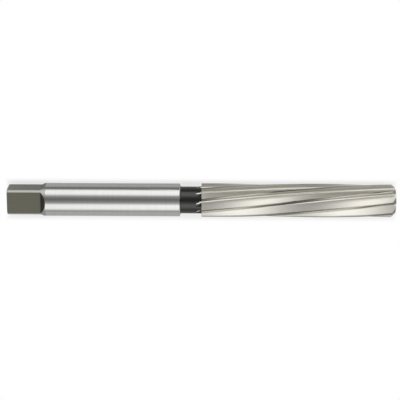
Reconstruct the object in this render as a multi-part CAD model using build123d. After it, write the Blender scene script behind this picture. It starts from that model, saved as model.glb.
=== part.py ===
from build123d import *
import os
from math import asin, atan2, cos, degrees, hypot, pi, radians, sin, sqrt, tan

# The tool lies along X: square end at -X, cutting end at +X, lowest line at Z = 0.
# The origin is under the middle of its length.
# It is rolled to where it comes to rest, on two neighbouring cutting edges and the shank,
# and that roll is in square_turn and top_edge_station.
# Lengths are in millimetres and angles in degrees.

# Turned form
overall_length = 165.1
cutting_diameter = 14.288
flute_length = 82.55
shank_undersize = 0.24
neck_depth = 1.275
neck_length = 9.1
shank_chamfer = 0.3
neck_corner_radius = 0.5

# Square for the tap wrench
square_across_flats = 10.67
square_length = 14.29
square_turn = 4.4
flat_count = 4
flat_exit_slope = 40.0
flat_corner_radius = 0.5

# Teeth: left-hand helix, right-hand cut
tooth_count = 8
helix_angle = 7.1
flute_depth = 2.0
flute_root_radius = 0.6
flute_run_out = 2.4
land_width = 0.9
margin_width = 0.15
land_relief = 10.0
top_edge_station = 38.7

# Cutting end
start_taper_length = 14.3
start_taper_drop = 0.12
lead_chamfer = 1.4
lead_relief = 12.0

# Centre holes, with a 60 degree countersink
centre_mouth_diameter = 5.3
centre_pilot_diameter = 2.5
centre_depth = 5.5
centre_half_angle = 30.0
drill_point_half_angle = 59.0

cutting_radius = cutting_diameter / 2
shank_radius = cutting_radius - shank_undersize / 2
neck_radius = shank_radius - neck_depth
flute_bottom_radius = cutting_radius - flute_depth
axis_height = cutting_radius
square_end_x = -overall_length / 2
cutting_end_x = overall_length / 2
flute_start_x = cutting_end_x - flute_length
neck_start_x = flute_start_x - neck_length
run_out_start_x = flute_start_x - flute_run_out
square_shoulder_x = square_end_x + square_length
tooth_pitch = 360 / tooth_count
flat_pitch = 360 / flat_count
helix_lead = pi * cutting_diameter / tan(radians(helix_angle))
twist_per_mm = 360 / helix_lead
clearance = 1.0


def around_axis(radius, angle):
    """A point of a cross-section, by its radius and its angle from +Y towards +Z."""
    return (radius * cos(radians(angle)), radius * sin(radians(angle)))


def arc_angle(width):
    """The angle that a width takes up on the cutting circle."""
    return degrees(width / cutting_radius)


def edge_angle(x, tooth=0):
    """Where the cutting edge of a tooth is at x: one edge is on top at top_edge_station."""
    return 90 - twist_per_mm * (x - top_edge_station) + tooth * tooth_pitch


def turned(*outline):
    """A solid of revolution about the tool's axis, from (x, radius) corners."""
    return revolve(make_face(Plane.XZ * Polyline(*outline, close=True)), axis=Axis.X)


def tooth_edges(angle):
    """The outline of one tooth and the flute behind it, from its cutting edge at an angle.

    A narrow margin on the full circle, the relieved land, the straight back of the tooth,
    the round root, and the radial rake face of the next tooth.
    """
    land_drop = (land_width - margin_width) * tan(radians(land_relief))
    edge = around_axis(cutting_radius, angle)
    margin_middle = around_axis(cutting_radius, angle - arc_angle(margin_width) / 2)
    margin_end = around_axis(cutting_radius, angle - arc_angle(margin_width))
    heel = around_axis(cutting_radius - land_drop, angle - arc_angle(land_width))
    next_edge = around_axis(cutting_radius, angle - tooth_pitch)

    root_distance = flute_bottom_radius + flute_root_radius
    root_lead = degrees(asin(flute_root_radius / root_distance))
    root_centre = around_axis(root_distance, angle - tooth_pitch + root_lead)
    face_foot_radius = sqrt(root_distance**2 - flute_root_radius**2)
    face_foot = around_axis(face_foot_radius, angle - tooth_pitch)
    root_bottom = around_axis(flute_bottom_radius, angle - tooth_pitch + root_lead)

    to_root = (root_centre[0] - heel[0], root_centre[1] - heel[1])
    reach = hypot(*to_root)
    back_direction = atan2(to_root[1], to_root[0]) - asin(flute_root_radius / reach)
    back_length = sqrt(reach**2 - flute_root_radius**2)
    back_foot = (
        heel[0] + back_length * cos(back_direction),
        heel[1] + back_length * sin(back_direction),
    )
    return [
        ThreePointArc(edge, margin_middle, margin_end),
        Line(margin_end, heel),
        Line(heel, back_foot),
        ThreePointArc(back_foot, root_bottom, face_foot),
        Line(face_foot, next_edge),
    ]


def toothed_section(x):
    """The cross-section of the cutting body at x."""
    edges = []
    for tooth in range(tooth_count):
        edges += tooth_edges(edge_angle(x, tooth))
    return Plane.YZ.offset(x) * make_face(edges)


def toothed_bar(start_x, end_x):
    """The toothed section carried along the axis with the left-hand twist."""
    length = end_x - start_x
    start = (start_x, 0, 0)
    path = Edge.make_line(start, (end_x, 0, 0))
    guide = Edge.make_helix(
        helix_lead, length, cutting_radius, center=start, normal=(1, 0, 0), lefthand=True
    )
    return sweep(toothed_section(start_x), path=path, binormal=guide)


def cutting_body():
    """The toothed bar, turned down to the neck before its teeth, with a slight taper to start
    the cut and the lead chamfer on each tooth."""
    past_end_x = cutting_end_x + clearance
    taper_start_x = cutting_end_x - start_taper_length
    taper_slope = start_taper_drop / start_taper_length
    ground_away = turned(
        (taper_start_x, cutting_radius),
        (past_end_x, cutting_radius - taper_slope * (past_end_x - taper_start_x)),
        (past_end_x, cutting_radius + clearance),
        (taper_start_x, cutting_radius + clearance),
    )
    body = toothed_bar(run_out_start_x, cutting_end_x) - ground_away
    body -= revolve(make_face(Plane.XZ * before_teeth_outline()), axis=Axis.X)
    for tooth in range(tooth_count):
        body -= lead_chamfer_cut(tooth)
    return body


def before_teeth_outline():
    """The outline of what is turned away before the teeth: down to the neck, with a rounded corner."""
    corner_start = (flute_start_x - neck_corner_radius, neck_radius)
    corner_end = (flute_start_x, neck_radius + neck_corner_radius)
    outside = Polyline(
        corner_end,
        (flute_start_x, cutting_radius + clearance),
        (run_out_start_x - clearance, cutting_radius + clearance),
        (run_out_start_x - clearance, neck_radius),
        corner_start,
    )
    return outside + RadiusArc(corner_start, corner_end, neck_corner_radius)


def lead_chamfer_cut(tooth):
    """The 45 degree chamfer on the end of one tooth, falling away behind its cutting edge."""
    end_radius = cutting_radius - start_taper_drop
    angle = edge_angle(cutting_end_x, tooth)
    outward = Vector(0, *around_axis(1, angle))
    ahead = Vector(0, *around_axis(1, angle + 90))
    along = Vector(1, 0, 0)
    level = (along + outward).normalized()
    facing = level * cos(radians(lead_relief)) - ahead * sin(radians(lead_relief))
    corner = along * (cutting_end_x - lead_chamfer) + outward * end_radius
    cut_plane = Plane(origin=corner, x_dir=along - outward, z_dir=facing)
    size = cutting_radius
    return cut_plane * Box(2 * size, 2 * size, size, align=(Align.CENTER, Align.CENTER, Align.MIN))


def neck():
    """The undercut between shank and teeth, ending in the cone on which the flutes run out."""
    run_out_slope = (neck_radius - flute_bottom_radius) / flute_run_out
    cone_end_x = flute_start_x + clearance
    return turned(
        (neck_start_x, 0),
        (neck_start_x, neck_radius),
        (run_out_start_x, neck_radius),
        (cone_end_x, flute_bottom_radius - run_out_slope * clearance),
        (cone_end_x, 0),
    )


def shank():
    """The plain ground shank with its square end and both edges broken."""
    corner_x = neck_start_x + neck_corner_radius
    corner_start = (neck_start_x, neck_radius + neck_corner_radius)
    corner_end = (corner_x, neck_radius)
    outline = Polyline(
        corner_end,
        (corner_x, 0),
        (square_end_x, 0),
        (square_end_x, shank_radius - shank_chamfer),
        (square_end_x + shank_chamfer, shank_radius),
        (neck_start_x - shank_chamfer, shank_radius),
        (neck_start_x, shank_radius - shank_chamfer),
        corner_start,
    ) + RadiusArc(corner_start, corner_end, neck_corner_radius)
    body = revolve(make_face(Plane.XZ * outline), axis=Axis.X)
    for flat in range(flat_count):
        body -= Rot(X=square_turn + flat * flat_pitch) * flat_cut()
    return body


def flat_cut():
    """What is milled away over one flat of the square, with a sloping exit up to the shank."""
    half = square_across_flats / 2
    top = shank_radius + clearance
    exit_length = (top - half) / tan(radians(flat_exit_slope))
    profile = Plane.XZ * make_face(
        Polyline(
            (square_end_x - clearance, half),
            (square_shoulder_x, half),
            (square_shoulder_x + exit_length, top),
            (square_end_x - clearance, top),
            close=True,
        )
    )
    foot_of_exit = profile.vertices().filter_by_position(Axis.X, square_shoulder_x, square_shoulder_x)
    return extrude(fillet(foot_of_exit, flat_corner_radius), amount=top, both=True)


def centre_hole():
    """A drilled and countersunk centre, open towards -X with its mouth at X = 0."""
    mouth_radius = centre_mouth_diameter / 2
    pilot_radius = centre_pilot_diameter / 2
    cone_depth = (mouth_radius - pilot_radius) / tan(radians(centre_half_angle))
    point_depth = pilot_radius / tan(radians(drill_point_half_angle))
    return turned(
        (0, 0),
        (0, mouth_radius),
        (cone_depth, pilot_radius),
        (centre_depth, pilot_radius),
        (centre_depth + point_depth, 0),
    )


def hand_reamer():
    """The whole tool, lying with its axis at its own radius above Z = 0."""
    tool = shank() + neck() + cutting_body()
    tool -= Pos(square_end_x, 0, 0) * centre_hole()
    tool -= Pos(cutting_end_x, 0, 0) * Rot(Z=180) * centre_hole()
    return Pos(0, 0, axis_height) * tool


os.makedirs("parts", exist_ok=True)
reamer = hand_reamer()
print("reamer: valid", reamer.is_valid, "volume", round(reamer.volume, 1), "solids", len(reamer.solids()))
print("box", reamer.bounding_box())
export_step(reamer, "parts/reamer.step")
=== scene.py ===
# %% [markdown]
# # A hand reamer, from bar steel to picture
#
# The tool is one piece of high-speed steel: a square for the wrench, a ground shank, a black neck and eight
# left-hand spiral teeth. It lies on its side, rolled to where it comes to rest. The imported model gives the
# size and the place. This script gives the steel its look, in four parts: the sections and rings that make
# the form, one closed skin over them, a finish for each way the steel was worked, and then the light, the
# floor and the camera.

from math import acos, asin, atan2, ceil, cos, degrees, hypot, pi, radians, sin, sqrt, tan

import bpy
from mathutils import Matrix, Vector


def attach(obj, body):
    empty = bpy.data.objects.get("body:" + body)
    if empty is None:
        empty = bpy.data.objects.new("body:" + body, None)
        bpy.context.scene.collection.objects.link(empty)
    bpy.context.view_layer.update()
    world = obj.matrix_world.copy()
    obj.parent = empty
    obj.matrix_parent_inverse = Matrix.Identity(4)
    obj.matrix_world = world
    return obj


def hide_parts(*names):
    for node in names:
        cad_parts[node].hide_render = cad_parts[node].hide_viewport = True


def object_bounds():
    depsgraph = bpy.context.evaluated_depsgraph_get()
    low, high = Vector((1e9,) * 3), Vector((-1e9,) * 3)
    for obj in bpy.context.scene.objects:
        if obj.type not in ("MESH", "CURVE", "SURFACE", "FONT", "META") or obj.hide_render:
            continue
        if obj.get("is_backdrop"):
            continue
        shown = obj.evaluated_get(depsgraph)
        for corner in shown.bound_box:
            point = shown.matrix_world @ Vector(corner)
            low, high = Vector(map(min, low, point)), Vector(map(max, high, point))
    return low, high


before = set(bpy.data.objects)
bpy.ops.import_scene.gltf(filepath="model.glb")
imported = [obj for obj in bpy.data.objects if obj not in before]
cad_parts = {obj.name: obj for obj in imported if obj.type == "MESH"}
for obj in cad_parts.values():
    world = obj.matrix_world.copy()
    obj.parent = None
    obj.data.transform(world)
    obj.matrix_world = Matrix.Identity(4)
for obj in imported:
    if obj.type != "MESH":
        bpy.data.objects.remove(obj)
low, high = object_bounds()
MM = 0.001
print("the packed tool's lowest corner, in mm:", [round(v / MM, 2) for v in low])
print("the packed tool's highest corner, in mm:", [round(v / MM, 2) for v in high])

# %% [markdown]
# ## Sizes
#
# The overall length and the cutting diameter are read from the frame, so the picture can't drift from it.
# The sizes that a box can't tell, such as the width of a land, repeat the tool's own drawing. Everything is
# in millimetres until the mesh is made, because that is how a toolmaker thinks.

# %% The tool's own sizes, in millimetres
length = (high.x - low.x) / MM
cutting_diameter = (high.z - low.z) / MM
cutting_radius = cutting_diameter / 2
axis_height = cutting_radius

flute_length = 82.55
shank_undersize = 0.24
neck_depth = 1.275
neck_length = 9.1
shank_chamfer = 0.3
neck_corner_radius = 0.5

square_across_flats = 10.67
square_length = 14.29
square_turn = 4.4
flat_count = 4
flat_exit_slope = 40.0
flat_corner_radius = 0.5

tooth_count = 8
helix_angle = 7.1
flute_depth = 2.0
flute_root_radius = 0.6
flute_run_out = 2.4
land_width = 0.9
margin_width = 0.15
land_relief = 10.0
top_edge_station = 38.7

start_taper_length = 14.3
start_taper_drop = 0.12
lead_chamfer = 1.4
lead_relief = 12.0

centre_mouth_radius = 5.3 / 2
centre_pilot_radius = 2.5 / 2
centre_depth = 5.5
centre_half_angle = 30.0
drill_point_half_angle = 59.0
print("length", round(length, 2), "mm, cutting diameter", round(cutting_diameter, 3), "mm")

# %% What follows from the sizes
shank_radius = cutting_radius - shank_undersize / 2
neck_radius = shank_radius - neck_depth
flute_bottom_radius = cutting_radius - flute_depth
square_end_x = -length / 2
cutting_end_x = length / 2
flute_start_x = cutting_end_x - flute_length
neck_start_x = flute_start_x - neck_length
run_out_start_x = flute_start_x - flute_run_out
square_shoulder_x = square_end_x + square_length
teeth_corner_x = flute_start_x - neck_corner_radius
taper_start_x = cutting_end_x - start_taper_length
tooth_pitch = 360 / tooth_count
twist_per_mm = 360 * tan(radians(helix_angle)) / (pi * cutting_diameter)
print("twist of the flutes:", round(twist_per_mm, 3), "degrees for each millimetre")

# %% [markdown]
# ## The section of a tooth
#
# Cut the tool across its flutes and each tooth shows the same five strokes. A narrow margin lies on the
# full circle. Behind it the land falls away, so that it doesn't rub. The straight back runs down to the
# round root, and the radial face climbs to the next cutting edge. A modeller could trace this from a
# photograph, but the strokes follow from five sizes, so they are worked out here, with many points where
# the section turns. Near the cutting end the edges are ground down a little. The margin gets wider there,
# and the heel stays.

# %% Points along a stroke
def polar(radius, angle):
    """The (y, z) point at a radius and an angle from +Y towards +Z."""
    return (radius * cos(radians(angle)), radius * sin(radians(angle)))


def line_points(start, end, steps):
    """Points from start towards end, without the end itself."""
    return [
        (start[0] + (end[0] - start[0]) * i / steps, start[1] + (end[1] - start[1]) * i / steps)
        for i in range(steps)
    ]


def arc_points(centre, radius, start_angle, turn, steps):
    """Points along an arc, without its end."""
    return [
        (
            centre[0] + radius * cos(radians(start_angle + turn * i / steps)),
            centre[1] + radius * sin(radians(start_angle + turn * i / steps)),
        )
        for i in range(steps)
    ]


example = line_points((0, 0), (1, 0), 4)
print("a stroke in 4 steps has", len(example), "points, because its end starts the next stroke")

# %% Where a straight back meets a round root
def direction(start, end):
    """The angle of the way from start to end, in radians."""
    return atan2(end[1] - start[1], end[0] - start[0])


def touching_point(start, centre, radius):
    """Where the line from start touches a circle, with the circle on its left."""
    reach = hypot(centre[0] - start[0], centre[1] - start[1])
    way = direction(start, centre) - asin(radius / reach)
    line_length = sqrt(reach**2 - radius**2)
    return (start[0] + line_length * cos(way), start[1] + line_length * sin(way))


example = touching_point((0, 0), (5, 0), 3)
print("a line from 5 mm away touches a circle of radius 3 at", [round(v, 2) for v in example])

# %% One tooth and its flute
MARGIN_STEPS = 2
LAND_STEPS = 3
BACK_STEPS = 10
ROOT_STEPS = 20
FACE_STEPS = 5


def tooth_section(drop=0.0):
    """The points of one tooth whose cutting edge is at angle 0, going backwards. A drop lowers the edge."""
    edge_radius = cutting_radius - drop
    land_drop = (land_width - margin_width) * tan(radians(land_relief))
    margin_turn = -degrees((margin_width + drop / tan(radians(land_relief))) / cutting_radius)
    heel = polar(cutting_radius - land_drop, -degrees(land_width / cutting_radius))

    root_distance = flute_bottom_radius + flute_root_radius
    root_lead = degrees(asin(flute_root_radius / root_distance))
    root_centre = polar(root_distance, root_lead - tooth_pitch)
    back_foot = touching_point(heel, root_centre, flute_root_radius)
    face_foot = polar(sqrt(root_distance**2 - flute_root_radius**2), -tooth_pitch)
    root_start = degrees(direction(root_centre, back_foot))
    root_turn = (degrees(direction(root_centre, face_foot)) - root_start) % 360
    if root_turn > 180:
        root_turn -= 360
    return (
        arc_points((0, 0), edge_radius, 0, margin_turn, MARGIN_STEPS)
        + line_points(polar(edge_radius, margin_turn), heel, LAND_STEPS)
        + line_points(heel, back_foot, BACK_STEPS)
        + arc_points(root_centre, flute_root_radius, root_start, root_turn, ROOT_STEPS)
        + line_points(face_foot, polar(edge_radius, -tooth_pitch), FACE_STEPS)
    )


TOOTH = tooth_section()
LAND_COUNT = MARGIN_STEPS + LAND_STEPS
print(len(TOOTH), "points on each tooth, of which", LAND_COUNT, "lie on the land")

# %% [markdown]
# ## Where a flute begins
#
# The wheel that grinds a flute doesn't start at its full depth. It comes down through the neck on a slope,
# so the flute begins as a bright point in the black steel and widens until the teeth stand up on both sides
# of it. Before the teeth the bar is also turned down to the neck, with a small rounded corner. So the
# section there has two limits: a turned circle that nothing stands above, and a floor that the flute
# doesn't yet go below.
#
# The bright point could be painted with a mask, but a mask has soft or ragged edges. Here the points in the
# middle of the root are drawn together at the start and spread as the flute deepens. The colour then
# changes on a line of points, and its edge is as crisp as on the steel.

# %% A section read by angle
def by_angle(points):
    """(angles, radii) of points, both seen from the axis."""
    return [degrees(atan2(z, y)) for y, z in points], [hypot(y, z) for y, z in points]


def between(row, other_row, value):
    """What the other row has where the first, falling row passes a value."""
    for a, b, c, d in zip(row, row[1:], other_row, other_row[1:]):
        if b <= value <= a:
            return c + (d - c) * (a - value) / (a - b) if a > b else c
    return other_row[-1]


FLUTE_ANGLES, FLUTE_RADII = by_angle(TOOTH[LAND_COUNT:-FACE_STEPS])
BACK_ANGLES, BACK_RADII = FLUTE_ANGLES[: BACK_STEPS + 1], FLUTE_RADII[: BACK_STEPS + 1]
print("the flute lies", [round(-FLUTE_ANGLES[i], 1) for i in (0, -1)], "degrees behind the edge")

# %% The bare middle of the root
ROOT_START = FLUTE_ANGLES[BACK_STEPS]
ROOT_SHARES = [(ROOT_START - angle) / (tooth_pitch + ROOT_START) for angle in FLUTE_ANGLES[BACK_STEPS:]]
BARE_FROM = 2
BARE_TO = ROOT_STEPS - 2
LEAST_BARE = 0.1


def root_shares(bare):
    """How far each point of the root is from the back to the face, with the bare middle drawn together."""
    first, last = ROOT_SHARES[BARE_FROM], ROOT_SHARES[BARE_TO]
    middle = (first + last) / 2
    shares = []
    for share in ROOT_SHARES:
        if share < first:
            share *= (middle - (middle - first) * bare) / first
        elif share > last:
            share = 1 - (1 - share) * (1 - middle - (last - middle) * bare) / (1 - last)
        else:
            share = middle + (share - middle) * bare
        shares.append(share)
    return shares


print("the bright middle takes", BARE_TO - BARE_FROM, "of the", ROOT_STEPS, "steps of the root")

# %% A section between two limits
face_foot_radius = hypot(*TOOTH[-FACE_STEPS])


def limited_section(turned_radius, floor_radius, bare):
    """(angle, radius) of each point of a tooth between a turned circle and the floor of its flute."""
    back_top = between(BACK_RADII, BACK_ANGLES, turned_radius)
    back_foot = between(BACK_RADII, BACK_ANGLES, floor_radius)
    section = [(back_top * i / LAND_COUNT, turned_radius) for i in range(LAND_COUNT)]
    for i in range(BACK_STEPS):
        angle = back_top + (back_foot - back_top) * i / BACK_STEPS
        section.append((angle, between(FLUTE_ANGLES, FLUTE_RADII, angle)))
    for share in root_shares(bare):
        angle = back_foot - (tooth_pitch + back_foot) * share
        section.append((angle, max(floor_radius, between(FLUTE_ANGLES, FLUTE_RADII, angle))))
    lowest = max(floor_radius, face_foot_radius)
    for i in range(FACE_STEPS):
        section.append((-tooth_pitch, lowest + (turned_radius - lowest) * i / FACE_STEPS))
    return section


NECK_SECTION = limited_section(neck_radius, neck_radius, LEAST_BARE)
print(len(NECK_SECTION), "points also where there is no flute yet")

# %% [markdown]
# ## Rings along the axis
#
# The whole tool is a row of closed rings along X, skinned with quads. Every ring has the same number of
# points, so a round ring of the shank joins a toothed ring of the flutes, or a square ring of the wrench
# end, with no holes and no cuts. The trick is that the points may slide around a ring as long as they keep
# their order. Here and below, a name that starts with LEAST keeps neighbours a little apart, so that no
# quad shrinks to nothing.

# %% Angles of a round ring that meets the teeth
RING_SIZE = tooth_count * len(TOOTH)
LEAST_STEP = 0.03


def edge_angle(x):
    """Where the first cutting edge is at x: it is on top at top_edge_station."""
    return 90 - twist_per_mm * (x - top_edge_station)


def spread(angles):
    """The angles of one tooth, always falling, and all before the next tooth."""
    following = -tooth_pitch
    kept = []
    for angle in reversed(angles):
        following = max(angle, following + LEAST_STEP)
        kept.append(following)
    return kept[::-1]


def all_teeth(x, angles):
    """The angles of every point of a ring at x, from those of one tooth."""
    return [edge_angle(x) - tooth * tooth_pitch + angle for tooth in range(tooth_count) for angle in angles]


MEETING_ANGLES = all_teeth(run_out_start_x, spread([angle for angle, _ in NECK_SECTION]))
print(RING_SIZE, "points on every ring")

# %% A ring of the turned parts
def circle(x, radius, angles=MEETING_ANGLES):
    """A ring of the turned part of the tool."""
    return [(x, *polar(radius, angle)) for angle in angles]


print("the neck's first point is", [round(v, 2) for v in circle(neck_start_x, neck_radius)[0]])

# %% [markdown]
# ## The square
#
# On the real tool a cutter mills four flats and climbs out of the round bar at a slope, which leaves the
# curved step between the square and the shank. A Boolean would cut the same form, but it leaves long thin
# triangles that show in a bright finish. Here each ring of the square puts one half of its points on the
# flats and the other half on the round corners between them, so a row of points always lies exactly on the
# crease. The flats stop a degree before they run out, for the same reason as the names with LEAST.

# %% How the points of a ring are shared out
FLAT_SHARE = 0.5
points_per_flat = RING_SIZE // flat_count
flat_points = round(points_per_flat * FLAT_SHARE)
corner_points = points_per_flat - flat_points
flat_pitch = 360 / flat_count
first_flat = square_turn + flat_pitch * round((MEETING_ANGLES[0] - square_turn) / flat_pitch)
half_square = square_across_flats / 2
print(flat_points, "points on each flat and", corner_points, "on each corner")

# %% A ring of the square
def turn_point(point, angle):
    """A (y, z) point turned about the axis."""
    c, s = cos(radians(angle)), sin(radians(angle))
    return (point[0] * c - point[1] * s, point[0] * s + point[1] * c)


def squared(x, radius, flat_distance):
    """A ring of the radius, cut by four flats at their distance from the axis."""
    half_angle = degrees(acos(min(1, flat_distance / radius)))
    half_width = flat_distance * tan(radians(half_angle))
    ring = []
    for flat in range(flat_count):
        normal = first_flat - flat * flat_pitch
        for i in range(flat_points):
            ring.append((x, *turn_point((flat_distance, half_width * (1 - 2 * i / flat_points)), normal)))
        for i in range(corner_points):
            corner_turn = (flat_pitch - 2 * half_angle) * i / corner_points
            ring.append((x, *polar(radius, normal - half_angle - corner_turn)))
    return ring


print("each flat is", round(2 * sqrt(shank_radius**2 - half_square**2), 2), "mm wide")

# %% Where the flats climb out of the bar
FOOT_STEPS = 12
EXIT_STEPS = 22
LAST_HALF_ANGLE = 1.0


def exit_rings():
    """The rings where the flats climb out of the bar: first the rounded foot, then the slope."""
    slope = radians(flat_exit_slope)
    foot_reach = flat_corner_radius * tan(slope / 2)
    rings = []
    for i in range(FOOT_STEPS + 1):
        turn = slope * i / FOOT_STEPS
        foot_x = square_shoulder_x - foot_reach + flat_corner_radius * sin(turn)
        foot_distance = half_square + flat_corner_radius * (1 - cos(turn))
        rings.append(squared(foot_x, shank_radius, foot_distance))
    foot_half_angle = degrees(acos(foot_distance / shank_radius))
    for i in range(1, EXIT_STEPS + 1):
        half_angle = foot_half_angle + (LAST_HALF_ANGLE - foot_half_angle) * i / EXIT_STEPS
        distance = shank_radius * cos(radians(half_angle))
        rings.append(squared(foot_x + (distance - foot_distance) / tan(slope), shank_radius, distance))
    return rings


EXIT_RINGS = exit_rings()
exit_end_x = EXIT_RINGS[-1][0][0]
print("the flats run out at", round(exit_end_x - square_end_x, 2), "mm from the end")

# %% [markdown]
# ## The shank
#
# A ground cylinder. Blender has one ready to add, but its points would meet neither the square nor the
# teeth. So these rings carry the points slowly from where the square left them to where the teeth want
# them, less than a degree at a time, so that no quad is twisted enough to bend a reflection.

# %% Steps along the tool
ROUNDING = 1e-9


def steps_between(start, end, size):
    """Even steps from start to end, both included, none longer than size."""
    count = max(1, ceil((end - start) / size - ROUNDING))
    return [start + (end - start) * i / count for i in range(count + 1)]


print("from 0 to 1 in steps of at most 0.4:", [round(v, 2) for v in steps_between(0, 1, 0.4)])

# %% Rings of the shank
SLIDE_STEP = 1.5


def unwound(ring):
    """The angles of a ring's points, always falling."""
    angles = []
    for _, y, z in ring:
        angle = degrees(atan2(z, y))
        while angles and angle > angles[-1]:
            angle -= 360
        angles.append(angle)
    shift = 360 * round((MEETING_ANGLES[0] - angles[0]) / 360)
    return [angle + shift for angle in angles]


def sliding_rings(start_x, end_x, from_angles):
    """Round rings whose points slide from one set of angles to that of the teeth."""
    stations = steps_between(start_x, end_x, SLIDE_STEP)
    rings = []
    for x in stations[1:]:
        share = (x - start_x) / (end_x - start_x)
        angles = [a + (b - a) * share for a, b in zip(from_angles, MEETING_ANGLES)]
        rings.append(circle(x, shank_radius, angles))
    return rings


EXIT_ANGLES = unwound(EXIT_RINGS[-1])
SHANK_RINGS = sliding_rings(exit_end_x, neck_start_x - shank_chamfer, EXIT_ANGLES)
longest_slide = max(abs(a - b) for a, b in zip(EXIT_ANGLES, MEETING_ANGLES)) / len(SHANK_RINGS)
print(len(SHANK_RINGS), "rings on the shank, which slide by up to", round(longest_slide, 2), "degrees each")

# %% [markdown]
# ## The neck
#
# The neck is turned below the shank and stays black from the hardening. A rounded corner joins it to the
# shoulder on each side, because a sharp one would crack there. A plain cylinder could stand in for it, if
# the flutes didn't come in before the second corner and pass through it. So each ring there is a limited
# section, wider and deeper with every step. The front of the teeth leans by a hair, because in the flutes
# two rings at one place would leave quads without any area.

# %% From the shank into the neck
CORNER_STEPS = 8


def shoulder_rings():
    """From the shank's broken edge down the shoulder and round the corner into the neck."""
    rings = [circle(neck_start_x, shank_radius - shank_chamfer)]
    for i in range(CORNER_STEPS + 1):
        turn = radians(90 * i / CORNER_STEPS)
        along = neck_corner_radius * (1 - cos(turn))
        rings.append(circle(neck_start_x + along, neck_radius + neck_corner_radius * (1 - sin(turn))))
    return rings


SHOULDER_RINGS = shoulder_rings()
print(len(SHOULDER_RINGS), "rings from the shank down into the neck")

# %% From the neck into the flutes
RUN_OUT_STEP = 0.15
SHOULDER_LEAN = 0.01


def turned_radius_at(x):
    """The radius to which the bar is turned before the teeth: the neck, then its rounded corner."""
    into_corner = max(0, x - teeth_corner_x)
    return neck_radius + neck_corner_radius - sqrt(max(0, neck_corner_radius**2 - into_corner**2))


def run_out_ring(x):
    """The ring at x where the flutes are still on their way down."""
    share = (x - run_out_start_x) / flute_run_out
    floor_radius = neck_radius - (neck_radius - flute_bottom_radius) * share
    section = limited_section(turned_radius_at(x), floor_radius, max(LEAST_BARE, share))
    angles = all_teeth(x, [angle for angle, _ in section])
    radii = [radius for _, radius in section] * tooth_count
    return [(x, *polar(radius, angle)) for radius, angle in zip(radii, angles)]


def run_out_rings():
    """Every ring from the first touch of the wheel to the front of the teeth."""
    rings = [circle(run_out_start_x, neck_radius)]
    for x in steps_between(run_out_start_x, teeth_corner_x, RUN_OUT_STEP)[1:]:
        rings.append(run_out_ring(x))
    for i in range(1, CORNER_STEPS):
        rings.append(run_out_ring(teeth_corner_x + neck_corner_radius * sin(radians(90 * i / CORNER_STEPS))))
    return rings + [run_out_ring(flute_start_x - SHOULDER_LEAN)]


RUN_OUT_RINGS = run_out_rings()
print(len(RUN_OUT_RINGS), "rings from the first touch of the wheel to the teeth")

# %% [markdown]
# ## The lead
#
# A hand reamer is started by hand, so its first millimetres are a little smaller, and a chamfer on the end
# of each tooth does the cutting. The chamfer falls away behind the cutting edge. Cut with a Boolean or by
# pulling points in, it would leave a saw-tooth line on the back of the tooth. Here each ring works out
# where the chamfer crosses the back and puts a point exactly there, so the line is straight. The face of
# the next tooth ends where that tooth's own chamfer begins.

# %% The planes of the chamfer
LEAD_SLOPE = sqrt(2) * tan(radians(lead_relief))
LEAST_FACE = 0.01
lead_start_x = cutting_end_x - lead_chamfer
lead_radius = cutting_radius - start_taper_drop


def taper_drop_at(x):
    """How far the cutting edges are ground down at x, where the start of the tool tapers."""
    return start_taper_drop * max(0, x - taper_start_x) / start_taper_length


def lead_height(point):
    """How far a point stands out towards the lead chamfer of the tooth with its edge at angle 0."""
    return point[0] - LEAD_SLOPE * point[1]


def pulled_in(point, limit):
    """A point brought towards the axis until the chamfer of the next tooth doesn't cut it."""
    ahead = turn_point(point, tooth_pitch)
    share = min(1, limit / lead_height(ahead))
    return (point[0] * share, point[1] * share)


heel_start_x = lead_start_x - (lead_height(TOOTH[LAND_COUNT]) - lead_radius)
print("the chamfer takes the heel of the land", round(cutting_end_x - heel_start_x, 2), "mm from the end")

# %% Rings of the teeth and the lead
def lead_section(x):
    """The points of one tooth at x, where the chamfer takes its land and the top of its back."""
    points = tooth_section(taper_drop_at(x))
    limit = lead_radius - (x - lead_start_x)
    heel, back_foot = points[LAND_COUNT], points[LAND_COUNT + BACK_STEPS]
    cut = (lead_height(heel) - limit) / (lead_height(heel) - lead_height(back_foot))
    chamfer_foot = (heel[0] + (back_foot[0] - heel[0]) * cut, heel[1] + (back_foot[1] - heel[1]) * cut)
    root_limit = limit - LEAST_FACE
    face_foot = polar(min(face_foot_radius, root_limit), -tooth_pitch)
    return (
        line_points((limit, 0), chamfer_foot, LAND_COUNT)
        + line_points(chamfer_foot, back_foot, BACK_STEPS)
        + [pulled_in(point, root_limit) for point in points[LAND_COUNT + BACK_STEPS : -FACE_STEPS]]
        + line_points(face_foot, polar(limit, -tooth_pitch), FACE_STEPS)
    )


def toothed(x, points):
    """The ring of the cutting body at x, from the points of one tooth."""
    ring = []
    for tooth in range(tooth_count):
        turn = edge_angle(x) - tooth * tooth_pitch
        ring += [(x, *turn_point(point, turn)) for point in points]
    return ring


print(len(toothed(lead_start_x, lead_section(lead_start_x))), "points on a ring of the lead")

# %% [markdown]
# ## One skin
#
# Now the rows are put in order, from the bottom of one centre hole to the bottom of the other. Each row
# also says how the steel was worked from there to the next row. A tool like this could be built from
# several objects, but then the joints would show as dark lines in bright metal. One closed mesh has no
# joints.

# %% The rows and the centre holes
rows = []


def add(finish, ring):
    """Adds a ring, and the finish of the band from it to the next ring."""
    rows.append((finish, ring))


def end_face_rings(end_x, inward, angles):
    """The countersunk centre in an end face, from its drilled bottom to its mouth."""
    cone = (centre_mouth_radius - centre_pilot_radius) / tan(radians(centre_half_angle))
    return [
        circle(end_x + inward * centre_depth, centre_pilot_radius, angles),
        circle(end_x + inward * cone, centre_pilot_radius, angles),
        circle(end_x, centre_mouth_radius, angles),
    ]


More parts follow.
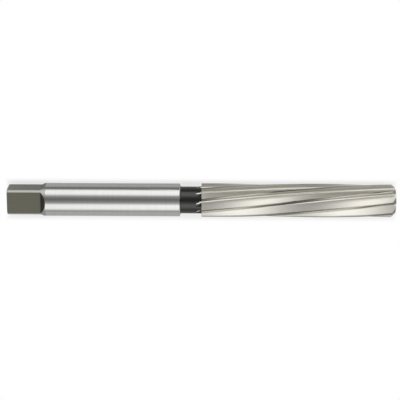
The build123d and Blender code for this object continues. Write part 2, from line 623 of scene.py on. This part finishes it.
square_angles = unwound(squared(square_end_x, shank_radius, half_square))
for ring in end_face_rings(square_end_x, 1, square_angles):
    add("turned_end", ring)
print(len(rows), "rings in the centre hole of the square")

# %% The rows of the square
END_CHAMFER_STEPS = 4
for i in range(END_CHAMFER_STEPS + 1):
    inset = shank_chamfer * (1 - i / END_CHAMFER_STEPS)
    add("milled_flat", squared(square_end_x + shank_chamfer - inset, shank_radius - inset, half_square))
foot_start_x = EXIT_RINGS[0][0][0]
for x in steps_between(square_end_x + shank_chamfer, foot_start_x, SLIDE_STEP)[1:-1]:
    add("milled_flat", squared(x, shank_radius, half_square))
for ring in EXIT_RINGS[:-1]:
    add("milled_exit_painted_shade", ring)
print(len(rows), "rings up to the end of the square")

# %% The rows of the shank and the neck
for ring in EXIT_RINGS[-1:] + SHANK_RINGS:
    add("ground_shank", ring)
for ring in SHOULDER_RINGS:
    add("black_neck", ring)
for ring in RUN_OUT_RINGS:
    add("run_out", ring)
print(len(rows), "rings up to the front of the teeth")

# %% The rows of the teeth and the last face
FLUTE_STEP = 1.0
LEAD_STEP = 0.14
for x in steps_between(flute_start_x, heel_start_x, FLUTE_STEP):
    add("ground_flute", toothed(x, tooth_section(taper_drop_at(x))))
*lead_stations, last_x = steps_between(lead_start_x, cutting_end_x, LEAD_STEP)
for x in lead_stations:
    add("ground_flute", toothed(x, lead_section(x)))
add("turned_end", toothed(last_x, lead_section(last_x)))
end_angles = all_teeth(cutting_end_x, spread(by_angle(lead_section(cutting_end_x))[0]))
for ring in end_face_rings(cutting_end_x, -1, end_angles)[::-1]:
    add("turned_end", ring)
print(len(rows), "rings of", RING_SIZE, "points in all")

# %% The finish of each quad
FINISHES = [
    "ground_shank", "milled_flat", "milled_exit_painted_shade", "square_corner", "black_neck", "land_painted_shade",
    "ground_flute", "ground_face", "turned_end",
]
# How many steps past the heel the lands' painted shade reaches.
SHADE_STEPS_PAST_HEEL = 1


def finish_of(band, i):
    """The number of the finish that quad i of a band has."""
    on_tooth = i % len(TOOTH)
    in_root = on_tooth - LAND_COUNT - BACK_STEPS
    if band in ("milled_flat", "milled_exit_painted_shade") and i % points_per_flat >= flat_points:
        band = "square_corner"
    elif band == "run_out":
        band = "ground_flute" if BARE_FROM <= in_root < BARE_TO else "black_neck"
    elif band == "ground_flute" and on_tooth < LAND_COUNT + SHADE_STEPS_PAST_HEEL:
        band = "land_painted_shade"
    elif band == "ground_flute" and in_root >= ROOT_STEPS:
        band = "ground_face"
    return FINISHES.index(band)


print("a tooth shows", len({finish_of("ground_flute", i) for i in range(len(TOOTH))}), "finishes")

# %% The faces of the skin
tip_depth = centre_depth + centre_pilot_radius / tan(radians(drill_point_half_angle))
points = [(x * MM, y * MM, (z + axis_height) * MM) for _, ring in rows for x, y, z in ring]
faces = []
finishes = []


def skin_band(row):
    """Quads from one row to the next."""
    a, b = row * RING_SIZE, (row + 1) * RING_SIZE
    for i in range(RING_SIZE):
        j = (i + 1) % RING_SIZE
        faces.append((a + i, a + j, b + j, b + i))
        finishes.append(finish_of(rows[row][0], i))


def drill_tip(end_x, inward, row):
    """The cone at the bottom of a centre hole, on the first or the last row."""
    tip = len(points)
    points.append(((end_x + inward * tip_depth) * MM, 0, axis_height * MM))
    base = row * RING_SIZE
    for i in range(RING_SIZE):
        j = (i + 1) % RING_SIZE
        faces.append((tip, base + j, base + i) if inward > 0 else (tip, base + i, base + j))
        finishes.append(FINISHES.index("turned_end"))


for row in range(len(rows) - 1):
    skin_band(row)
drill_tip(square_end_x, 1, 0)
drill_tip(cutting_end_x, -1, len(rows) - 1)
print(len(points), "points and", len(faces), "faces")

# %% The tool in the scene
steel_mesh = bpy.data.meshes.new("reamer_steel")
steel_mesh.from_pydata(points, [], faces)
steel_mesh.polygons.foreach_set("material_index", finishes)
steel = bpy.data.objects.new("reamer_steel", steel_mesh)
bpy.context.scene.collection.objects.link(steel)
for name in FINISHES:
    steel_mesh.materials.append(bpy.data.materials.new(name))
print("the tool has", len(steel_mesh.materials), "finishes")

# %% [markdown]
# ## Smooth and crisp
#
# The round parts need smooth shading, and the cutting edges must stay crisp. Subdivision would round the
# edges off, so the mesh stays as it is and only its shading changes. Every edge that turns by more than a
# few degrees is marked sharp: the lands, the faces, the chamfers and the creases of the square. The arcs of
# the roots turn less than that from quad to quad, so they stay smooth.

# %% Smooth sides, crisp edges
CRISP = radians(7)
steel_mesh.polygons.foreach_set("use_smooth", [True] * len(steel_mesh.polygons))
steel_mesh.set_sharp_from_angle(angle=CRISP)
steel_mesh.update()
print(sum(edge.use_edge_sharp for edge in steel_mesh.edges), "of", len(steel_mesh.edges), "edges are sharp")

# %% The tool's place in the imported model
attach(steel, "root")
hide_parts("reamer")
print(steel.name, "stands for the packed reamer")

# %% [markdown]
# ## Finishes
#
# It is one bar of steel, but every machine left its own surface on it. The shank was ground between
# centres, the square was milled and then blackened, the neck is black from the hardening, and the teeth
# were ground last. Pictures wrapped on the mesh would blur in a close view. Noise in real millimetres gives
# fine lines at every distance, and only its direction and its grain differ from one machine to the next.

# %% A finish and its nodes
def start_finish(name, color, roughness, metallic=1.0):
    """(node tree, main shader) of one finish, with its plain values set."""
    material = bpy.data.materials[name]
    material.use_nodes = True
    shader = material.node_tree.nodes["Principled BSDF"]
    shader.inputs["Base Color"].default_value = (*color, 1)
    shader.inputs["Metallic"].default_value = metallic
    shader.inputs["Roughness"].default_value = roughness
    return material.node_tree, shader


def node(tree, kind, values=None, **settings):
    """A new node, with its settings and the values of its inputs."""
    made = tree.nodes.new("ShaderNode" + kind)
    for name, setting in settings.items():
        setattr(made, name, setting)
    for name, value in (values or {}).items():
        if isinstance(value, bpy.types.NodeSocket):
            tree.links.new(value, made.inputs[name])
        else:
            made.inputs[name].default_value = value
    return made


def calc(tree, operation, *values):
    """The output of a Math node; its inputs are numbers or sockets."""
    return node(tree, "Math", dict(enumerate(values)), operation=operation).outputs[0]


print("finishes to fill in:", ", ".join(FINISHES))

# %% Noise in real millimetres
GRAIN_DETAIL = 3.0


def scaled_place(tree, scale, twisted):
    """The place on the tool in metres, stretched by a scale, and turned back along the flutes if twisted."""
    place = node(tree, "TexCoord").outputs["Object"]
    if twisted:
        to_axis = (0, 0, -axis_height * MM)
        about_axis = node(tree, "VectorMath", {0: place, 1: to_axis}, operation="ADD").outputs[0]
        along = node(tree, "SeparateXYZ", {"Vector": place}).outputs["X"]
        turn = calc(tree, "MULTIPLY", along, radians(twist_per_mm) / MM)
        turning = {"Vector": about_axis, "Angle": turn}
        place = node(tree, "VectorRotate", turning, rotation_type="X_AXIS").outputs[0]
    return node(tree, "VectorMath", {0: place, 1: scale}, operation="MULTIPLY").outputs[0]


def grain(tree, scale, twisted):
    """Noise between 0 and 1 whose grain has the given number of waves for each metre along X, Y and Z."""
    place = scaled_place(tree, scale, twisted)
    return node(tree, "TexNoise", {"Vector": place, "Scale": 1.0, "Detail": GRAIN_DETAIL}).outputs["Fac"]


print("a grain of 2500 waves for each metre has waves of", 1 / 2500 / MM, "mm")

# %% A worked surface
def tinted(tree, shader, dark, light, share):
    """The base colour runs from dark to light with a share from 0 to 1."""
    mix = node(tree, "Mix", data_type="RGBA")
    tree.links.new(share, mix.inputs["Factor"])
    mix.inputs["A"].default_value = (*dark, 1)
    mix.inputs["B"].default_value = (*light, 1)
    tree.links.new(mix.outputs["Result"], shader.inputs["Base Color"])


def scratched(tree, shader, height, depth):
    """Lines left by the machine: a height in the range 0 to 1, as deep as the depth in metres."""
    bump = node(tree, "Bump", {"Height": height, "Distance": depth, "Strength": 1.0})
    tree.links.new(bump.outputs[0], shader.inputs["Normal"])


def worked(name, dark, light, roughness, patches, lines, depth, metallic=1.0, twisted=False):
    """A finish with patches from dark to light and with lines; both grains are in waves for each metre."""
    tree, shader = start_finish(name, dark, roughness, metallic)
    tinted(tree, shader, dark, light, grain(tree, patches, twisted))
    scratched(tree, shader, grain(tree, lines, twisted), depth)
    print(name, "has", len(tree.nodes), "nodes")
    return tree, shader


# %% [markdown]
# ### The ground shank
#
# The grinding wheel leaves very fine rings around the bar. They spread a reflection along the tool and keep
# it sharp around it, so the soft boxes show as long clean stripes. That is what anisotropy does, with a
# little bump for the single scratches. The rings are short waves along X and long ones across.

# %% The ground shank
def brushed(tree, shader, amount, rotation):
    """Stretches the highlights: rotation 0.25 along the tool, and 0 around it."""
    around = node(tree, "Tangent", direction_type="RADIAL", axis="X")
    tree.links.new(around.outputs[0], shader.inputs["Tangent"])
    shader.inputs["Anisotropic"].default_value = amount
    shader.inputs["Anisotropic Rotation"].default_value = rotation


tree, shader = worked(
    "ground_shank",
    dark=(0.48, 0.48, 0.465),
    light=(0.55, 0.55, 0.535),
    roughness=0.16,
    patches=(2500, 120, 120),
    lines=(9000, 150, 150),
    depth=2e-6,
)
brushed(tree, shader, amount=0.6, rotation=0.25)

# %% [markdown]
# ### The square
#
# The four flats are black oxide, which is a skin and not bare metal. It is dark when seen straight on and
# it shines at a glancing angle, so the upper flat looks lighter than the front one. A dark metal would look
# the same from every side, so the oxide is made as a non-metal. The cutter's lines run along the tool. On
# the slope where the cutter climbs out, the oxide gets a darker colour, which is painted shade. The round
# corners between the flats are worn brighter.

# %% The corners of the square
start_finish("square_corner", color=(0.35, 0.35, 0.335), roughness=0.3)
print("square_corner keeps one plain colour")

# %% The milled flats
def oxide(name, dark, light, roughness):
    """A black oxide skin that shines most at a glancing angle, with the cutter's lines along the tool."""
    patches = (120, 1500, 1500)
    lines = (200, 6000, 6000)
    worked(name, dark, light, roughness, patches, lines, depth=4e-6, metallic=0.0)


oxide("milled_flat", dark=(0.1, 0.1, 0.068), light=(0.118, 0.118, 0.082), roughness=0.25)
# The slope's darker colour is painted shade.
oxide("milled_exit_painted_shade", dark=(0.03, 0.031, 0.02), light=(0.038, 0.039, 0.026), roughness=0.3)

# %% [markdown]
# ### The neck
#
# The neck was turned before hardening and isn't ground after it. It keeps a smooth black scale with faint
# turning rings. Plain matt black would hide that it is round, so the scale keeps some shine.

# %% The black neck
worked(
    "black_neck",
    dark=(0.05, 0.05, 0.048),
    light=(0.06, 0.06, 0.058),
    roughness=0.25,
    patches=(1200, 300, 300),
    lines=(5000, 100, 100),
    depth=3e-6,
)

# %% [markdown]
# ### The teeth
#
# The flutes are ground along their length, by a wheel that follows the spiral. So the grain has to follow
# the spiral too: the place on the tool is turned back by its twist before the noise is read. The steel is
# slightly warm, and rougher than the shank, which melts the soft boxes into broad shades.
#
# The radial faces are a little darker than the flutes. The lands get their own finish too. They are
# smoother, and their darker colour is painted shade, so each tooth is drawn as a thin dark line beside a
# bright flute. The painted shade reaches one step over the heel.

# %% The flutes, faces and lands
def ground_along(name, dark, light, roughness, depth):
    """Steel ground along the spiral, with lines of the given depth in metres."""
    patches = (150, 3000, 3000)
    lines = (150, 8000, 8000)
    worked(name, dark, light, roughness, patches, lines, depth, twisted=True)


ground_along(
    "ground_flute", dark=(0.71, 0.692, 0.639), light=(0.8, 0.78, 0.72), roughness=0.45, depth=2e-6
)
# The radial faces are a little darker than the flutes.
ground_along(
    "ground_face", dark=(0.515, 0.503, 0.45), light=(0.575, 0.562, 0.503), roughness=0.45, depth=2e-6
)
# The lands' darker colour is painted shade: it draws each tooth as a thin dark line.
ground_along(
    "land_painted_shade", dark=(0.27, 0.261, 0.219), light=(0.33, 0.321, 0.276), roughness=0.15, depth=1e-6
)

# %% [markdown]
# ### The ends
#
# Both end faces and the countersunk centres are turned steel, matt and grey. They are small and look away
# from the light, so a plain colour does, with no noise.

# %% The turned ends
start_finish("turned_end", color=(0.3, 0.3, 0.285), roughness=0.4)
print("turned_end keeps one plain colour")

# %% [markdown]
# ## Light
#
# Round bright steel shows the studio and little else, so the stripes on the shank are a map of the lamps.
# Read from the side to the top, they say: a long soft box on each side of the camera, a darker gap between
# the two where the camera stands, and dark ground behind. Area lamps could do it, but each stripe has its
# own soft edge, and a curve over the angle around the tool holds all the edges at once. The boxes end at
# some distance along the tool and are dimmer towards the square. All in all the sky is just bright enough
# for a colour to render about as it is written. It is seen only in the steel: to the camera it is white, as
# the picture's ground is.

# %% The brightness around the tool
VIEW_LEAN = 12.1
SKY = [
    (-180, 0.5), (-100, 0.7), (-90, 0.58), (-80, 0.95), (-71, 1.5), (-60, 1.7), (-47, 1.72), (-39, 1.55),
    (-32, 1.1), (-25, 0.66), (-18, 0.46), (-10, 0.36), (0, 0.26), (10, 0.35), (17, 0.45), (24, 0.66),
    (31, 1.1), (38, 1.55), (46, 1.75), (60, 1.75), (66, 1.55), (70, 1.3), (74, 0.9), (78, 0.35),
    (82, 0.2), (180, 0.3),
]
print(len(SKY), "angles around the tool with their brightness, and 0 is the camera's side")

# %% A sky that follows the angle
SKY_TOP = 2.0
world = bpy.data.worlds.new("studio")
world.use_nodes = True
bpy.context.scene.world = world
sky = world.node_tree
place = node(sky, "TexCoord").outputs["Generated"]
turned = node(sky, "VectorRotate", {"Vector": place, "Angle": radians(VIEW_LEAN)}, rotation_type="X_AXIS")
way = node(sky, "SeparateXYZ", {"Vector": turned.outputs[0]}).outputs
off_top = calc(sky, "ARCTAN2", way["Y"], way["Z"])
share_of_turn = calc(sky, "MULTIPLY_ADD", off_top, 0.5 / pi, 0.5)
ramp = node(sky, "FloatCurve", {"Value": share_of_turn})
curve = ramp.mapping.curves[0]
stops = [(0.5 + angle / 360, brightness / SKY_TOP) for angle, brightness in SKY]
curve.points[0].location = stops[0]
curve.points[1].location = stops[-1]
for stop in stops[1:-1]:
    curve.points.new(*stop)
for point in curve.points:
    point.handle_type = "AUTO_CLAMPED"
ramp.mapping.update()
around = calc(sky, "MULTIPLY", ramp.outputs["Value"], SKY_TOP)
print(len(curve.points), "points on the curve of the sky")

# %% Where the boxes end
BOX_FULL_TO = 50
BOX_GONE_FROM = 75
PAST_BOXES = 0.12
DIMMER_AT_SQUARE = 0.7


def fade(tree, value, from_low, from_high, to_low, to_high):
    """A value taken softly from one range to another, and kept inside it."""
    ranges = {"From Min": from_low, "From Max": from_high, "To Min": to_low, "To Max": to_high}
    made = node(tree, "MapRange", {"Value": value, **ranges}, interpolation_type="SMOOTHSTEP")
    return made.outputs["Result"]


off_middle = calc(sky, "ABSOLUTE", way["X"])
boxes = fade(sky, off_middle, sin(radians(BOX_FULL_TO)), sin(radians(BOX_GONE_FROM)), 1.0, PAST_BOXES)
towards_square = calc(sky, "MINIMUM", way["X"], 0.0)
boxes = calc(sky, "MULTIPLY", boxes, calc(sky, "MULTIPLY_ADD", towards_square, DIMMER_AT_SQUARE, 1.0))
print("the boxes fade from", BOX_FULL_TO, "to", BOX_GONE_FROM, "degrees along the tool")

# %% What the steel and the camera see of the sky
strength = calc(sky, "MULTIPLY", around, boxes)
seen = node(sky, "LightPath").outputs["Is Camera Ray"]
strength = node(sky, "Mix", {"Factor": seen, "A": strength, "B": 1.0}).outputs[0]
background = sky.nodes["Background"]
background.inputs["Color"].default_value = (1, 1, 1, 1)
sky.links.new(strength, background.inputs["Strength"])
print("the sky of", world.name, "has", len(sky.nodes), "nodes")

# %% [markdown]
# ## The floor
#
# The tool lies on white paper, and the picture has only a narrow soft shadow around it. A lamp could throw
# that shadow, but then the paper would never be quite white. So to the camera the paper is plain white, and
# in a strip under the tool a part of its real shading comes through. The strip lies a little off the
# middle, on the side away from the camera, so that the picture shows as much of it above the tool as below.
# The steel sees the paper differently: pale close by, and darker far behind, where the light of the studio
# ends. That dark part makes the thin dark line along the top of the shank.

# %% The sheet of paper
FLOOR_HALF = 4000
floor_mesh = bpy.data.meshes.new("floor")
half = FLOOR_HALF * MM
corners = [(-half, -half, 0), (half, -half, 0), (half, half, 0), (-half, half, 0)]
floor_mesh.from_pydata(corners, [], [(0, 1, 2, 3)])
floor = bpy.data.objects.new("floor", floor_mesh)
bpy.context.scene.collection.objects.link(floor)
floor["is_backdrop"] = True
print("the paper is", 2 * FLOOR_HALF, "mm wide")

# %% Pale close by, dark far behind
NEAR_FLOOR = 16
FAR_FLOOR = 45
NEAR_PALE = 0.75
FAR_PALE = 0.06
SEEN_PALE = 0.95
paper = bpy.data.materials.new("white_paper")
paper.use_nodes = True
tree = paper.node_tree
tree.nodes.remove(tree.nodes["Principled BSDF"])
ray = node(tree, "LightPath").outputs
place = node(tree, "SeparateXYZ", {"Vector": node(tree, "TexCoord").outputs["Object"]}).outputs
pale = fade(tree, place["Y"], NEAR_FLOOR * MM, FAR_FLOOR * MM, NEAR_PALE, FAR_PALE)
pale = calc(tree, "MAXIMUM", pale, calc(tree, "MULTIPLY", ray["Is Camera Ray"], SEEN_PALE))
matt = node(tree, "BsdfDiffuse", {"Color": pale})
print("the steel sees the paper go from", NEAR_PALE, "to", FAR_PALE, "behind the tool")

# %% The strip of shadow
SEEN_WHITE = 0.65
SHADOW_FULL = 7.3
SHADOW_END = 9.8
SHADOW_PAST_ENDS = 2.5
shadow_middle_y = -axis_height * tan(radians(VIEW_LEAN))
shadow_end_x = cutting_end_x + SHADOW_PAST_ENDS
off_strip = calc(tree, "ABSOLUTE", calc(tree, "SUBTRACT", place["Y"], shadow_middle_y * MM))
white = fade(tree, off_strip, SHADOW_FULL * MM, SHADOW_END * MM, SEEN_WHITE, 1.0)
off_middle = calc(tree, "ABSOLUTE", place["X"])
past_end = fade(tree, off_middle, cutting_end_x * MM, shadow_end_x * MM, SEEN_WHITE, 1.0)
white = calc(tree, "MAXIMUM", white, past_end)
print("the strip is", 2 * SHADOW_END, "mm wide, with its middle at", round(shadow_middle_y, 2), "mm")

# %% What the camera and the steel see of the paper
SEEN_WHITE_IN_METAL = 0.25
glow = node(tree, "Emission", {"Color": (1, 1, 1, 1), "Strength": 1.0})
direct = calc(tree, "MULTIPLY", ray["Is Camera Ray"], white)
mirrored = calc(tree, "MAXIMUM", ray["Is Glossy Ray"], ray["Is Transmission Ray"])
mirrored = calc(tree, "MULTIPLY", mirrored, SEEN_WHITE_IN_METAL)
glow_share = calc(tree, "MAXIMUM", direct, mirrored)
mix = node(tree, "MixShader", {0: glow_share, 1: matt.outputs[0], 2: glow.outputs[0]})
tree.links.new(mix.outputs[0], tree.nodes["Material Output"].inputs["Surface"])
floor_mesh.materials.append(paper)
print(paper.name, "has", len(tree.nodes), "nodes")

# %% [markdown]
# ## The camera
#
# The picture is taken from almost straight above, with a long lens: the axis of the tool runs along the
# picture with hardly any perspective. An orthographic camera would leave out even that little. The distance
# is written in the picture's own pixels, so the tool keeps its size when another lens is tried. The lean
# around the axis is read from the teeth: where a cutting edge is on top of the picture, set against where
# it is on top of the tool, gives the angle.

# %% The lens
IMAGE_SIZE = 400
PIXELS_PER_MM = 2.34
DISTANCE_PIXELS = 1500
SENSOR = 36
FARTHEST_SEEN = 10000
camera_data = bpy.data.cameras.new("camera")
camera_data.sensor_width = SENSOR
camera_data.lens = SENSOR * DISTANCE_PIXELS / IMAGE_SIZE
camera_data.clip_end = FARTHEST_SEEN * MM
print("the lens has", camera_data.lens, "mm and stands", round(DISTANCE_PIXELS / PIXELS_PER_MM), "mm away")

# %% The camera's place
PICTURE_ROLL = 0.2556
CENTRE_SHIFT = 1.55
camera = bpy.data.objects.new("camera", camera_data)
bpy.context.scene.collection.objects.link(camera)
aim = Matrix.Translation(Vector((-CENTRE_SHIFT / PIXELS_PER_MM * MM, 0, axis_height * MM)))
lean = Matrix.Rotation(radians(-VIEW_LEAN), 4, "X")
roll = Matrix.Rotation(radians(PICTURE_ROLL), 4, "Z")
back = Matrix.Translation(Vector((0, 0, DISTANCE_PIXELS / PIXELS_PER_MM * MM)))
camera.matrix_world = aim @ lean @ roll @ back
bpy.context.scene.camera = camera
print("the camera is at", [round(v, 3) for v in camera.matrix_world.translation])

# %% [markdown]
# ## The bounds at the end
#
# The bounds of the dressed tool are taken once more.

bpy.context.scene.view_settings.view_transform = "Standard"
low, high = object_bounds()
